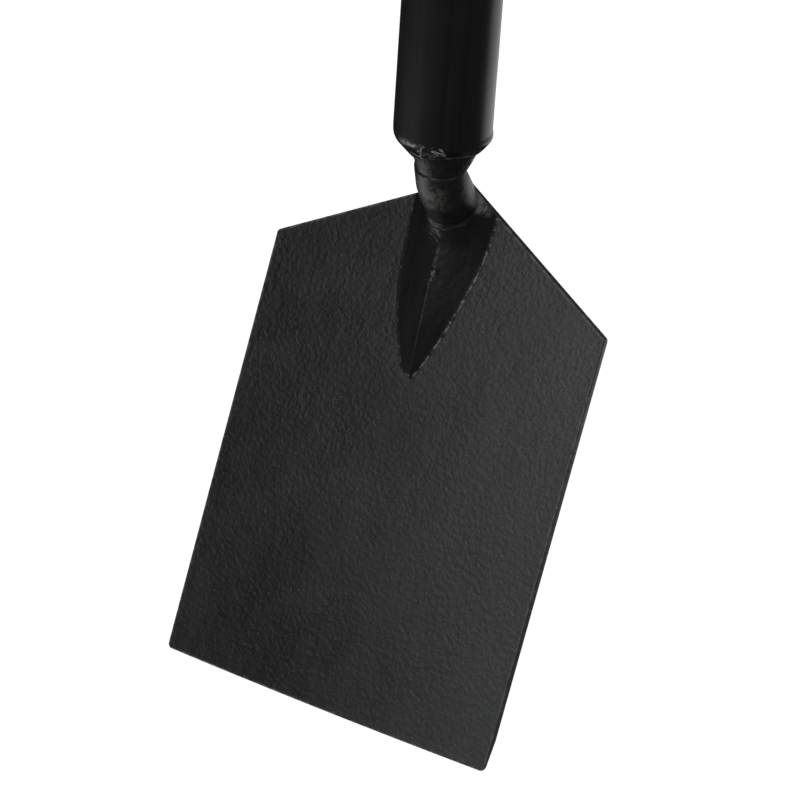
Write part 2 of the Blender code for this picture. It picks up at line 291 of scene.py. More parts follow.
# Dust and handling: small pale flecks and a thin uneven film
def makeShopDust():
    tree, given, out = newGroup("shopDust", {"Amount": 0.5}, ["Fleck", "Film"])
    cells = addNode(tree, "ShaderNodeTexVoronoi", {"Vector": given["Place"], "Scale": 330.0})
    fleck = ramp(tree, cells.outputs["Distance"], 0.085, 0.04)
    fleck = times(tree, fleck, ramp(tree, addNoise(tree, given["Place"], 90.0, 2.0), 0.5, 0.66))
    film = ramp(tree, addNoise(tree, given["Place"], 26.0, 5.0, 0.62, 0.8), 0.35, 0.75)
    tree.links.new(times(tree, fleck, given["Amount"]), out["Fleck"])
    tree.links.new(times(tree, film, given["Amount"]), out["Film"])
    return tree


forgeSkin = makeForgeSkin()
drawnStreaks = makeDrawnStreaks()
edgeWearAndHighlight = makeEdgeWearAndHighlight()
shopDust = makeShopDust()
print("shared finishes made")


# Black paint over forged or drawn steel; each part has its own values
def blackPaint(name, look):
    material, tree, shader = newMaterial(name)
    place = stretched(tree, objectPlace(tree), look["stretch"], look["turn"])
    skin = useGroup(tree, forgeSkin, {"Place": place, "Pit Size": look["pitSize"],
                                      "Pit Depth": look["pitDepth"], "Grain Depth": look["grainDepth"]})
    streaks = useGroup(tree, drawnStreaks, {"Place": place, "Width": look["streakWidth"],
                                            "Length": look["streakLength"]})
    edge = addNode(tree, "ShaderNodeAttribute", attribute_name="edge").outputs["Fac"]
    rubAndHighlight = useGroup(tree, edgeWearAndHighlight, {"Place": place, "Distance": edge, "Reach": look["rubAndHighlightReach"]})
    dust = useGroup(tree, shopDust, {"Place": place, "Amount": look["dust"]})

    color = blendColor(tree, ramp(tree, streaks["Streak"], 0.3, 0.7), look["deep"], look["lifted"])
    color = blendColor(tree, dust["Film"], color, look["film"])
    # worn paint and a painted highlight band lighten the colour near edges
    color = blendColor(tree, times(tree, rubAndHighlight["Soft"], look["softRubAndHighlight"]), color, look["wornAndHighlightColor"])
    # pale marks: painted highlight lines and worn paint at edges, and real dust flecks
    bright = calc(tree, "MAXIMUM", times(tree, rubAndHighlight["Rubbed"], look["rubAndHighlight"]), dust["Fleck"])
    # raised grains painted pale: a painted glint
    bright = calc(tree, "MAXIMUM", bright, times(tree, skin["Grains"], look["grainShine"]))
    color = blendColor(tree, bright, color, look["bareAndHighlightColor"])
    cloud = minus(tree, skin["Cloud"], 0.5)
    rough = plus(tree, look["rough"], times(tree, cloud, look["roughRange"]))
    rough = plus(tree, rough, times(tree, streaks["Streak"], look["streakRough"]), clamp=True)
    height = plus(tree, skin["Height"], times(tree, streaks["Streak"], look["streakHeight"]))
    height = minus(tree, height, times(tree, streaks["Hairline"], look["hairline"]))
    finishSurface(tree, shader, color, rough, height, look["bump"], look["bumpHeight"])
    shader.inputs["IOR"].default_value = look["ior"]
    return material, tree, shader, {"place": place, "color": color, "rough": rough}


# The blade's colour is painted lighter towards one side: a painted light gradient, broken up by noise
paintedSideLight = {"from": -0.035, "to": 0.080, "ragged": 0.05, "patch": (60, 12, 60), "share": 0.55,
         "color": (0.036, 0.0385, 0.0375, 1)}


def addPaintedSideLight(tree, shader, parts):
    across = addNode(tree, "ShaderNodeSeparateXYZ", {"Vector": objectPlace(tree)}).outputs["X"]
    patch = addNoise(tree, stretched(tree, parts["place"], paintedSideLight["patch"]), 1.0, 3.0)
    ragged = times(tree, minus(tree, patch, 0.5), paintedSideLight["ragged"])
    amount = ramp(tree, plus(tree, across, ragged), paintedSideLight["from"], paintedSideLight["to"])
    color = blendColor(tree, times(tree, amount, paintedSideLight["share"]), parts["color"], paintedSideLight["color"])
    tree.links.new(color, shader.inputs["Base Color"])


bladeFinish = {
    "turn": (-bladeTilt, 0, 0),  # lays the blade's length along the pattern's y
    "stretch": (1.0, 0.40, 1.0),
    "pitSize": 0.0017,
    "pitDepth": 0.60,
    "grainDepth": 0.22,
    "streakWidth": 0.0050,
    "streakLength": 0.060,
    "streakHeight": 0.75,
    "streakRough": 0.10,
    "hairline": 0.25,
    "rubAndHighlightReach": 0.00035,
    "rubAndHighlight": 0.5,
    "softRubAndHighlight": 0.22,
    "dust": 0.35,
    "grainShine": 0.30,
    "deep": (0.0036, 0.0038, 0.0038, 1),
    "lifted": (0.0070, 0.0074, 0.0073, 1),
    "film": (0.022, 0.023, 0.022, 1),
    "wornAndHighlightColor": (0.030, 0.031, 0.030, 1),
    "bareAndHighlightColor": (0.16, 0.16, 0.155, 1),
    "rough": 0.38,
    "roughRange": 0.16,
    "bump": 1.0,
    "bumpHeight": 0.00018,
    "ior": 1.48,
}

shankFinish = dict(
    bladeFinish,
    pitSize=0.0026, pitDepth=0.8, grainDepth=0.35, stretch=(1, 1, 1),
    deep=(0.0040, 0.0041, 0.0041, 1), lifted=(0.0066, 0.0068, 0.0068, 1), film=(0.010, 0.010, 0.010, 1),
    streakHeight=0.15, hairline=0.0, rubAndHighlightReach=0.00045, rubAndHighlight=0.7, rough=0.34, bumpHeight=0.00010,
)

weldFinish = dict(
    shankFinish,
    pitSize=0.0012, pitDepth=1.0, grainDepth=0.5, bumpHeight=0.00007, rough=0.38, dust=0.7,
)

ferruleFinish = dict(
    bladeFinish,
    turn=(-math.pi / 2, 0, 0), stretch=(1, 1, 1),
    pitSize=0.0030, pitDepth=0.20, grainDepth=0.14, streakWidth=0.0022, streakLength=0.090,
    streakHeight=0.22, streakRough=0.05, hairline=0.10, rubAndHighlightReach=0.0007, rubAndHighlight=0.6, softRubAndHighlight=0.2, dust=0.22,
    grainShine=0.10,
    deep=(0.0042, 0.0042, 0.0042, 1), lifted=(0.0062, 0.0062, 0.0062, 1), film=(0.010, 0.010, 0.0098, 1),
    rough=0.30, roughRange=0.10, bump=0.6, bumpHeight=0.00005,
)


# Pale marks where the piece's mask attribute says so, broken up by grit: real scuffs on the ferrule, a
# painted highlight on the shank
ferruleScuffs = {"scale": 210.0, "low": 0.515, "high": 0.565, "color": (0.19, 0.183, 0.172, 1),
                 "rough": 0.25}
shankSheen = {"scale": 260.0, "low": 0.30, "high": 0.62, "color": (0.088, 0.090, 0.080, 1), "rough": 0.12}


def addScuffsAndSheen(tree, shader, parts, scuffsAndSheen):
    patch = addNode(tree, "ShaderNodeAttribute", attribute_name="scuffAndSheen").outputs["Fac"]
    grit = addNoise(tree, parts["place"], scuffsAndSheen["scale"], 4.0, 0.7, 1.5)
    mask = times(tree, patch, ramp(tree, grit, scuffsAndSheen["low"], scuffsAndSheen["high"]))
    color = blendColor(tree, mask, parts["color"], scuffsAndSheen["color"])
    rough = plus(tree, parts["rough"], times(tree, mask, scuffsAndSheen["rough"]), clamp=True)
    tree.links.new(color, shader.inputs["Base Color"])
    tree.links.new(rough, shader.inputs["Roughness"])


# Ash: long grain with rings that open into arches, pores, and end grain at the butt
wood = {
    "early": (0.66, 0.46, 0.27, 1),
    "late": (0.44, 0.265, 0.125, 1),
    "pore": (0.23, 0.12, 0.05, 1),
    "ringSize": 0.0042,
    "rough": 0.40,
    "coat": 0.35,
    "coatRough": 0.22,
    "grime": (0.30, 0.19, 0.10, 1),
}


def makeWoodGrain():
    tree, given, out = newGroup("woodGrain", {"Ring Size": 0.004}, ["Ring", "Pore", "Fibre"])
    # the tree's heart lies outside the pole and drifts along it, which opens the rings into arches
    wander = addNoise(tree, stretched(tree, given["Place"], (6, 6, 1.1)), 1.0, 2.0)
    heart = stretched(tree, given["Place"], (1, 1, 0.012), (0.004, -0.006, 0), (0.034, 0.012, 0))
    bend = times(tree, minus(tree, wander, 0.5), 0.030)
    radius = addNode(tree, "ShaderNodeVectorMath", {0: heart}, operation="LENGTH").outputs["Value"]
    radius = plus(tree, radius, bend)
    year = calc(tree, "FRACT", over(tree, radius, given["Ring Size"]))
    late = times(tree, ramp(tree, year, 0.35, 0.93), ramp(tree, year, 1.0, 0.95))
    fibres = addNoise(tree, stretched(tree, given["Place"], (1300, 1300, 28)), 1.0, 3.0, 0.6)
    pores = addNoise(tree, stretched(tree, given["Place"], (2300, 2300, 130)), 1.0, 2.0, 0.5)
    early = minus(tree, 1.0, ramp(tree, year, 0.05, 0.45))
    pore = times(tree, ramp(tree, pores, 0.60, 0.70), plus(tree, 0.35, early))
    tree.links.new(late, out["Ring"])
    tree.links.new(calc(tree, "MINIMUM", pore, 1.0), out["Pore"])
    tree.links.new(fibres, out["Fibre"])
    return tree


woodGrain = makeWoodGrain()


def ashWood(look):
    material, tree, shader = newMaterial("ashWood")
    place = objectPlace(tree)
    grain = useGroup(tree, woodGrain, {"Place": place, "Ring Size": look["ringSize"]})
    dust = useGroup(tree, shopDust, {"Place": place, "Amount": 0.5})
    color = blendColor(tree, times(tree, grain["Ring"], 0.85), look["early"], look["late"])
    color = blendColor(tree, times(tree, grain["Pore"], 0.75), color, look["pore"])
    tint = ramp(tree, grain["Fibre"], 0.25, 0.75, 0.82, 1.10)
    color = addNode(tree, "ShaderNodeVectorMath", {0: color, 3: tint}, operation="SCALE").outputs[0]
    color = blendColor(tree, times(tree, dust["Film"], 0.35), color, look["grime"])
    rough = plus(tree, look["rough"], times(tree, grain["Pore"], 0.25))
    rough = plus(tree, rough, times(tree, dust["Film"], 0.15), clamp=True)
    height = minus(tree, times(tree, grain["Fibre"], 0.5), grain["Pore"])
    finishSurface(tree, shader, color, rough, height, 0.5, 0.00012)
    shader.inputs["Coat Weight"].default_value = look["coat"]
    shader.inputs["Coat Roughness"].default_value = look["coatRough"]
    return material


# Peened steel rivet: hammer flats, patchy grime and dust
rivetLook = {"steel": (0.40, 0.39, 0.37, 1), "dark": (0.05, 0.048, 0.045, 1), "rough": 0.33,
             "pitSize": 0.0011, "metal": 0.9}


def rivetSteel(look):
    material, tree, shader = newMaterial("rivetSteel")
    place = objectPlace(tree)
    pits = {"Place": place, "Pit Size": look["pitSize"], "Pit Depth": 0.8, "Grain Depth": 0.3}
    skin = useGroup(tree, forgeSkin, pits)
    dust = useGroup(tree, shopDust, {"Place": place, "Amount": 1.0})
    dirt = ramp(tree, addNoise(tree, place, 700.0, 4.0, 0.65), 0.45, 0.65)
    color = blendColor(tree, times(tree, dirt, 0.6), look["steel"], look["dark"])
    color = blendColor(tree, times(tree, dust["Film"], 0.5), color, look["dark"])
    rough = plus(tree, look["rough"], times(tree, dirt, 0.3), clamp=True)
    finishSurface(tree, shader, color, rough, skin["Height"], 0.8, 0.0001)
    shader.inputs["Metallic"].default_value = look["metal"]
    return material


# Blade: a plate meshed in rows from cutting edge to heel, its skin dimpled by the forge
def heelEdge(u):
    return blade["side"] + blade["heelRise"] * (1 - np.abs(u) / blade["halfWidth"])


def plateHalfWidth(v):
    half, corner = blade["halfWidth"], blade["corner"]
    slope = math.atan2(blade["heelRise"], half)
    width = np.minimum(half, (blade["side"] + blade["heelRise"] - v) / blade["heelRise"] * half)
    lowArc = half - corner + np.sqrt(np.clip(corner ** 2 - np.clip(corner - v, 0, None) ** 2, 0, None))
    width = np.minimum(width, lowArc)
    # the corner between side and heel
    center = blade["side"] - corner * math.tan((math.pi / 2 - slope) / 2)
    inArc = (v > center) & (v < center + corner * math.cos(slope))
    sideArc = half - corner + np.sqrt(np.clip(corner ** 2 - (v - center) ** 2, 0, None))
    width = np.where(inArc, np.minimum(width, sideArc), width)
    # the heel's point
    top = blade["side"] + blade["heelRise"] - corner / math.cos(slope)
    topArc = np.sqrt(np.clip(corner ** 2 - (v - top) ** 2, 0, None))
    return np.where(v > top + corner * math.cos(slope), topArc, width)


def plateTop():
    slope = math.atan2(blade["heelRise"], blade["halfWidth"])
    return blade["side"] + blade["heelRise"] - blade["corner"] / math.cos(slope) + blade["corner"]


def plateRows():
    top = plateTop()
    fine = np.array([0, 0.06, 0.16, 0.3, 0.5, 0.8, 1.2, 1.6]) * mm
    rows = np.arange(2 * mm, top - 1.2 * mm, blade["cell"])
    heel = blade["side"] + np.linspace(-1.2, 0.9, 8) * mm
    rows = rows[np.abs(rows - blade["side"]) > 1.6 * mm]
    point = top - np.array([1.1, 0.8, 0.5, 0.25, 0.1, 0.03, 0.001]) * mm
    return np.unique(np.concatenate([fine, rows, heel, point]))


def makeBlade(material):
    rows = plateRows()
    half = blade["halfWidth"]
    near = np.array([0, 0.05, 0.14, 0.27, 0.42, 0.6, 0.9, 1.4]) * mm / half
    middle = np.linspace(-1 + 2.2 * mm / half, 1 - 2.2 * mm / half, int(2 * half / blade["cell"]))
    shares = np.concatenate([near - 1, middle, (1 - near)[::-1]])
    v, share = np.meshgrid(rows, shares, indexing="ij")
    u = share * plateHalfWidth(v)
    side = half - np.abs(u)
    heel = (heelEdge(u) - v) * math.cos(math.atan2(blade["heelRise"], half))
    rim = np.minimum(np.minimum(side, v), np.minimum(heel, plateHalfWidth(v) - np.abs(u)))
    rim = np.clip(np.minimum(rim, plateTop() - v), 0, None)
    rounding = blade["edgeRound"]
    drop = rounding - np.sqrt(rounding ** 2 - (rounding - np.minimum(rim, rounding)) ** 2)
    crown = blade["crown"] * (1 - share ** 2) * (1 - smoothStep(v, 0, blade["grind"]))
    flat = np.stack([u.ravel(), (v - crown).ravel(), np.zeros(u.size)], 1)
    calm = smoothStep(rim.ravel(), 0, 3 * mm)
    long = flat / [1, blade["dimpleLength"], 1]
    dimples = noiseAt(long, blade["dimpleSize"]) + 0.6 * noiseAt(long, 5.5 * mm, 7.0)
    warp = noiseAt(flat, 34 * mm, 3.0) + 0.5 * noiseAt(flat / [1, 3, 1], 12 * mm, 11.0)
    skin = (dimples * blade["dimple"] + (warp - 1) * blade["warp"]) * calm
    front = flat.copy()
    front[:, 2] = -drop.ravel() + np.minimum(skin, 0)
    thinning = blade["thickness"] - blade["edgeThickness"]
    thick = blade["edgeThickness"] + thinning * np.clip(v / blade["grind"], 0, 1)
    back = flat.copy()
    backSkin = noiseAt(long, blade["dimpleSize"], 19.0) * blade["dimple"]
    backSkin = backSkin + noiseAt(flat, 30 * mm, 23.0) * blade["warp"]
    back[:, 2] = -thick.ravel() + drop.ravel() + np.abs(backSkin) * calm

    count = u.size
    index = np.arange(count).reshape(u.shape)
    a, b, c, d = index[:-1, :-1], index[:-1, 1:], index[1:, 1:], index[1:, :-1]
    faces = np.stack([a, b, c, d], -1).reshape(-1, 4).tolist()
    faces += (np.stack([d, c, b, a], -1).reshape(-1, 4) + count).tolist()
    loop = np.concatenate([index[0, :-1], index[:-1, -1], index[-1, :0:-1], index[:0:-1, 0]])
    for here, there in zip(loop, np.roll(loop, -1)):
        faces.append((there, here, here + count, there + count))
    points = bladeToWorld(np.concatenate([front, back]))
    piece = makePiece("bladePlate", points, faces, material)
    # distance to the rims and the ground bevel, for worn paint and painted highlight lines along them
    edge = np.abs(rim.ravel() - blade["edgeRound"] * 0.8)
    ground = np.where(flat[:, 1] < blade["grind"], np.abs(flat[:, 1] - blade["grind"]) * 0.25, edge)
    addAttribute(piece, "edge", np.concatenate([edge, np.minimum(edge, ground + 0.0002)]))
    return piece


# Shank: the raised foot, the round neck and the tang, as one forging
shank = {
    "cell": 0.42,  # the values here are in millimetres
    "footTip": 129.2,
    "footLength": 66.7,
    "footHalfWidth": 17.2,
    "footHeight": 8.5,
    "outlineBow": 0.85,  # exponents: how fast the outline widens and the ridge climbs from the tip
    "ridgeBow": 0.55,
    "footShift": -1.4,  # the outline's middle leans to this side of the ridge near the tip
    "ridgeShift": -0.7,
    "ridgeSoftness": 0.12,
    "leastHalfWidth": 0.6,
    "sunk": 0.35,  # how far it is let into the plate
    "tipRadius": 0.9,
    "fillet": 1.2,
    "neckFillet": 3.4,
    "neckBlend": 5.5,
    "neckRadius": 10.1,
    "waistRadius": 9.5,
    "neckLine": [(190.5, -6.0), (194.5, 0.5), (198.6, 7.6), (202.3, 13.6), (206.2, 18.6), (210.9, 22.6)],
    "rim": 4.6,  # from the neck's top down to the rim where its full thickness starts
    "neckCut": 9.0,  # the raised skin ends this far above the neck's top, inside the ferrule
    "creaseStart": 194.5,
    "creaseWave": 0.45,
    "creaseAxis": (0.5217, 0.853),  # the creases follow each other in this direction
    # crease: place along that axis, depth (less than 0 stands proud), width
    "creases": [(8.3, 0.35, 1.1), (6.2, -0.22, 0.8), (2.2, 0.16, 0.6), (0.4, 0.18, 0.5), (-1.3, 0.18, 0.5),
                (-3.2, 0.16, 0.5), (-5.2, 0.14, 0.5)],
    "nubs": [(0.3, 171.8, 6.3, 1.2), (0.0, 169.0, 5.9, 1.0)],  # raised grains: place and size
    "tangRadius": 9.2,
    "tangTip": 4.5,
    "tangLength": 60.0,
    "dent": 0.045,
    "dentSizes": (3.6, 1.7),
    "frontSheen": 0.60,
}


def softMin(a, b, reach):
    near = np.clip(reach - np.abs(a - b), 0, None) / reach
    return np.minimum(a, b) - near * near * reach / 4


def neckPoints():
    top = toBlade(neckTop) / mm
    up = np.array([bladeUp.z, faceNormal.z])  # the handle's upright direction, as (v, n)
    line = [np.array(point) for point in shank["neckLine"]]
    return line + [np.array([top.y, top.z]), np.array([top.y, top.z]) + up * 12]


def neckDistance(u, v, n):  # distance to the neck's centre line, and the place along it
    points = neckPoints()
    lengths = [np.linalg.norm(b - a) for a, b in zip(points, points[1:])]
    total = sum(lengths[:-1])  # the neck's top, where the handle's line starts
    best = np.full(u.shape, 1e9)
    place = np.zeros(u.shape)
    walked = 0
    for a, b, length in zip(points, points[1:], lengths):
        along = (b - a) / length
        run = np.clip((v - a[0]) * along[0] + (n - a[1]) * along[1], 0, length)
        gap = np.sqrt(u * u + (v - a[0] - along[0] * run) ** 2 + (n - a[1] - along[1] * run) ** 2)
        closer = gap < best
        best = np.where(closer, gap, best)
        place = np.where(closer, walked + run - total, place)
        walked += length
    return best, place


def footSide(share, offset):  # the foot's half width on the side of its ridge where the offset lies
    spread = np.sin(math.pi / 2 * np.power(np.clip(share, 1e-4, None), shank["outlineBow"]))
    width = shank["tipRadius"] + (shank["footHalfWidth"] - shank["tipRadius"]) * spread
    lean = shank["footShift"] * smoothStep(share, -0.01, 0.04) * (1 - smoothStep(share, 0.4, 0.85))
    return width + np.where(offset < 0, -lean, lean)


def creaseClimb(v, n):
    along, out = shank["creaseAxis"]
    return (v - shank["creaseStart"]) * along + n * out


def creaseWave(u, i):  # no crease runs quite straight
    return shank["creaseWave"] * np.sin(u * (0.7 + 0.2 * i) + i * 2.1)


def shankField(u, v, n):
    share = np.clip((v - shank["footTip"]) / shank["footLength"], 0, 1)
    crest = shank["footHeight"] * np.power(np.clip(share, 1e-4, None), shank["ridgeBow"])
    offset = u - shank["ridgeShift"]
    side = np.maximum(footSide(share, offset), shank["leastHalfWidth"])
    soft = shank["ridgeSoftness"]
    across = (np.sqrt(offset * offset + soft * soft) - soft) / side
    power = 1.0 + 0.5 * smoothStep(share, 0.6, 1.0)  # the sides bulge a little towards the neck
    height = crest * (1 - np.power(across, power))
    # the tip runs down into the plate
    height = height - np.clip(shank["footTip"] + 2.0 - v, 0, None) * 0.5
    height = height - np.clip(shank["footTip"] - v, 0, None)
    foot = (n - height) * 0.86  # brings the slope of the field near 1

    gap, place = neckDistance(u, v, n)
    rim = smoothStep(place, -shank["rim"], -shank["rim"] + 0.5)
    neck = gap - (shank["neckRadius"] - (shank["neckRadius"] - shank["waistRadius"]) * rim)
    plate = n + shank["sunk"] + 0.15
    steel = softMin(foot, neck, shank["neckBlend"])
    reach = shank["fillet"] + (shank["neckFillet"] - shank["fillet"]) * (1 - smoothStep(neck, 0.5, 6.0))
    body = softMin(steel, plate, reach)

    # upset creases where the round bar was driven down into the foot
    climb = creaseClimb(v, n)
    band = smoothStep(n, 4.5, 7.0) * (1 - smoothStep(np.abs(u), 8.5, 12.0))
    left = 1 - smoothStep(u, -1.2, 0.8)
    for i, (middle, depth, wide) in enumerate(shank["creases"]):
        shown = band * (left if i > 1 else 1)
        body = body + depth * shown * np.exp(-((climb - middle - creaseWave(u, i)) / wide) ** 2)
    for x, y, z, size in shank["nubs"]:
        ball = np.sqrt((u - x) ** 2 + (v - y) ** 2 + (n - z) ** 2) - size
        body = softMin(body, ball, 1.0)

    # the foot ends just inside the plate's heel, leaning back as it rises
    heel = (v / 1000 - heelEdge(u / 1000)) * 1000
    body = np.maximum(body, heel * 0.869 + 0.35 - np.clip(n, 0, None) * 0.45)
    body = np.maximum(body, -(n + shank["sunk"]))
    return np.maximum(body, place - shank["neckCut"])


def footRim(u, v):  # how far outside the foot's own outline a point of the plate lies
    share = np.clip((v - shank["footTip"]) / shank["footLength"], 1e-4, 1)
    offset = u - shank["ridgeShift"]
    return np.abs(offset) - footSide(share, offset)


# Surface nets: a vertex in every cell that the skin crosses, drawn onto the skin, and a quad round every
# grid edge that it cuts
def netOf(field, low, high, cell):
    axes = [np.arange(a, b, cell) for a, b in zip(low, high)]
    grid = np.meshgrid(*axes, indexing="ij")
    solid = field(*grid) < 0
    sizes = [size - 1 for size in solid.shape]
    count = np.zeros(sizes, np.int8)
    for i in (0, 1):
        for j in (0, 1):
            for k in (0, 1):
                count += solid[i:i + sizes[0], j:j + sizes[1], k:k + sizes[2]]
    crossed = (count > 0) & (count < 8)
    number = np.full(sizes, -1)
    number[crossed] = np.arange(crossed.sum())
    points = (np.argwhere(crossed) + 0.5) * cell + np.array(low)
    step = 0.05
    for _ in range(4):
        value = field(*points.T)
        slope = np.zeros_like(points)
        for axis in range(3):
            shift = np.zeros(3)
            shift[axis] = step
            slope[:, axis] = (field(*(points + shift).T) - field(*(points - shift).T)) / (2 * step)
        size = np.maximum((slope ** 2).sum(1), 0.2)
        move = -(value / size)[:, None] * slope
        points += np.clip(move, -0.5 * cell, 0.5 * cell)
    faces = []
    for axis in range(3):
        b, c = (axis + 1) % 3, (axis + 2) % 3
        lower = np.take(solid, range(solid.shape[axis] - 1), axis)
        upper = np.take(solid, range(1, solid.shape[axis]), axis)
        for outward in (True, False):
            change = lower & ~upper if outward else ~lower & upper
            cells = np.argwhere(change)
            quad = []
            for x, y in ((-1, -1), (0, -1), (0, 0), (-1, 0)):
                corner = cells.copy()
                corner[:, b] += x
                corner[:, c] += y
                quad.append(number[corner[:, 0], corner[:, 1], corner[:, 2]])
            quad = np.stack(quad, 1)
            faces += (quad if outward else quad[:, ::-1]).tolist()
    return points, slope, faces


def makeShank(material):
    points, slope, faces = netOf(shankField, (-24, 126, -3), (24, 230, 48), shank["cell"])
    normals = slope / np.maximum(np.linalg.norm(slope, axis=1), 1e-6)[:, None]
    wide, small = shank["dentSizes"]
    dents = noiseAt(points, wide) + 0.6 * noiseAt(points, small, 5.0)
    shown = smoothStep(points[:, 2], 0.3, 1.6) * (1 - smoothStep(points[:, 1], 206, 212) * 0.7)
    points = points + normals * (dents * shank["dent"] * shown)[:, None]
    u, v, n = points.T
    gap, place = neckDistance(u, v, n)
    # painted highlight lines where the foot meets the plate, fainter on the u < 0 side, and at the neck's
    # rim
    rim = np.abs(footRim(u, v) - 0.15) + 8 * smoothStep(n, 0.5, 1.2)
    rim = rim + np.where(u < 0, 0.35, 0.0)
    edge = np.minimum(rim, np.abs(place + shank["rim"]) + 0.3)
    # painted highlights on the raised grains and the lip of the upper crease too
    lip = np.abs(creaseClimb(v, n) - shank["creases"][1][0] - creaseWave(u, 1))
    lip = lip + 9 * smoothStep(np.abs(u - 2), 7, 11) + 9 * smoothStep(n, 9, 6)
    edge = np.minimum(edge, lip + 0.25)
    for x, y, z, size in shank["nubs"]:
        edge = np.minimum(edge, np.linalg.norm(points - [x, y, z + size], axis=1) * 0.4)
    edge = edge * mm
    # painted highlight on the flare behind the neck, and a weaker one on the neck's lower front towards the
    # left
    behind = smoothStep(u, 8.6, 9.6) * smoothStep(-u, -15.5, -12.5)
    behind = behind * smoothStep(gap, 10.2, 10.8) * smoothStep(v, 196.0, 198.5) * smoothStep(n, 0.8, 2.5)
    front = smoothStep(place, -20, -15) * smoothStep(-place, 5.0, 11.0) * smoothStep(-u, -8, -1)
    sheenMask = np.maximum(behind, shank["frontSheen"] * front)
    world = bladeToWorld(points * mm)

    around = 40
    rings = []
    for along, radius in ((6.0, 0.01), (6.0, 8.6), (9.0, shank["tangRadius"]), (42.0, shank["tangRadius"]),
                          (shank["tangLength"], shank["tangTip"]), (shank["tangLength"], 0.01)):
        for j in range(around):
            angle = 2 * math.pi * j / around
            offset = Vector((math.cos(angle), math.sin(angle), 0)) * radius * mm
            rings.append(neckTop + offset + Vector((0, 0, along * mm)))
    base = len(world)
    tang = [[corner + base for corner in face] for face in ringFaces(6, around)]
    tang.append([base + j for j in reversed(range(around))])
    tang.append([base + 5 * around + j for j in range(around)])
    piece = makePiece("shankForging", list(world) + rings, faces + tang, material)
    addAttribute(piece, "edge", np.concatenate([edge, np.full(len(rings), 0.01)]))
    addAttribute(piece, "scuffAndSheen", np.concatenate([sheenMask, np.zeros(len(rings))]))
    return piece


# Ferrule: a drawn tube whose lower end is spun in, a little unevenly, to a crisp mouth
ferrule = {
    "radius": (ferruleHigh.x - ferruleLow.x) / 2,
    "wall": 0.0020,
    "length": ferruleHigh.z - ferruleLow.z,
    "lip": 0.0118,
    "noseLength": 0.0068,
    "shoulder": 0.0050,
    "lean": 0.0009,  # the mouth's shift towards the side that was spun less
    "leanTurn": math.radians(29),
    "bulge": 0.0015,
    "mouthDrop": 0.0012,
    "mouthLift": 0.0032,  # the mouth is cut back at the front and a little at one side
    "mouthSide": 0.0016,
    "mouthTurn": math.radians(-61),
    "around": 144,
    "wobble": 0.00006,
    "endRounding": 0.0006,
    "scuffTurn": 26,  # degrees from the side that the mouth is cut back on
    "scuffHeight": 0.0040,
}


def noseRadius(height):  # outer radius of the nose, from the mouth up to the tube
    slope = math.atan2(ferrule["radius"] - ferrule["lip"], ferrule["noseLength"])
    tangent = ferrule["shoulder"] * math.tan(slope / 2)
    cone = ferrule["lip"] + height * math.tan(slope)
    center = ferrule["noseLength"] + tangent
    low = center - ferrule["shoulder"] * math.sin(slope)
    across = np.sqrt(np.clip(ferrule["shoulder"] ** 2 - np.clip(center - height, 0, None) ** 2, 0, None))
    arc = ferrule["radius"] - ferrule["shoulder"] + across
    return np.where(height < low, cone, np.where(height < center, arc, ferrule["radius"]))


def noseBulge(angle):
    return ferrule["bulge"] * max(0.0, math.cos(angle - ferrule["leanTurn"])) ** 2


def mouthLift(angle):
    front = ferrule["mouthLift"] * math.cos(angle - ferrule["mouthTurn"])
    return front + ferrule["mouthSide"] * math.cos(angle - ferrule["leanTurn"]) - ferrule["mouthDrop"]


def makeFerrule(material):
    bottom, length, wall = ferruleLow.z, ferrule["length"], ferrule["wall"]
    rows = np.concatenate([np.linspace(0, 0.014, 60), np.arange(0.016, length - 0.002, 0.003),
                           length - np.array([0.0012, 0.0007])])
    outer = list(zip(noseRadius(rows), rows))
    rim = ferrule["endRounding"]
    for i in range(6):
        angle = math.pi / 2 * i / 5
        outer.append((ferrule["radius"] - rim * (1 - math.cos(angle)), length - rim * (1 - math.sin(angle))))
    bore = ferrule["radius"] - wall
    inner = [(bore, length), (bore, 0.011), (bore - 0.0015, 0.007), (0.0100, 0.0045), (0.0102, 0.0040)]
    points, edge, scuffAndSheen = [], [], []
    around = ferrule["around"]
    for radius, height in outer + inner:
        isInner = (radius, height) in inner
        for j in range(around):
            angle = 2 * math.pi * j / around
            low = 1 - smoothStep(height, 0, 0.0105)
            place = height
            r = radius
            if not isInner:
                place = height + mouthLift(angle) * (1 - smoothStep(height, 0, 0.013))
                wave = noise.noise(Vector((math.cos(angle) * 2, math.sin(angle) * 2, height * 60)))
                r = radius + ferrule["wobble"] * (wave - 0.6) + noseBulge(angle) * low
            shift = ferrule["lean"] * low
            x = r * math.cos(angle) + shift * math.cos(ferrule["leanTurn"])
            y = r * math.sin(angle) + shift * math.sin(ferrule["leanTurn"])
            points.append((neckTop.x + x, neckTop.y + y, bottom + place))
            edge.append(0.02 if isInner else min(height, length - height + 0.0002))
            turned = math.degrees(angle - ferrule["mouthTurn"] + math.pi) % 360 - 180
            patch = smoothStep(-abs(turned + ferrule["scuffTurn"]), -36, -20)
            patch = patch * smoothStep(-abs(height - ferrule["scuffHeight"]), -0.0060, -0.003)
            scuffAndSheen.append(0.0 if isInner else patch)
    faces = ringFaces(len(outer) + len(inner), around, closed=True)
    piece = makePiece("ferruleTube", points, faces, material)
    addAttribute(piece, "edge", edge)
    addAttribute(piece, "scuffAndSheen", scuffAndSheen)
    return piece


# Weld: the collar of filler between the ferrule's mouth and the neck, with its ripples painted over
weld = {"around": 120, "rings": 26, "top": 0.0118, "bottom": 0.0096, "ripple": 0.00012, "bead": 0.0003,
        "core": 0.72}  # how far out the hidden inner wall lies


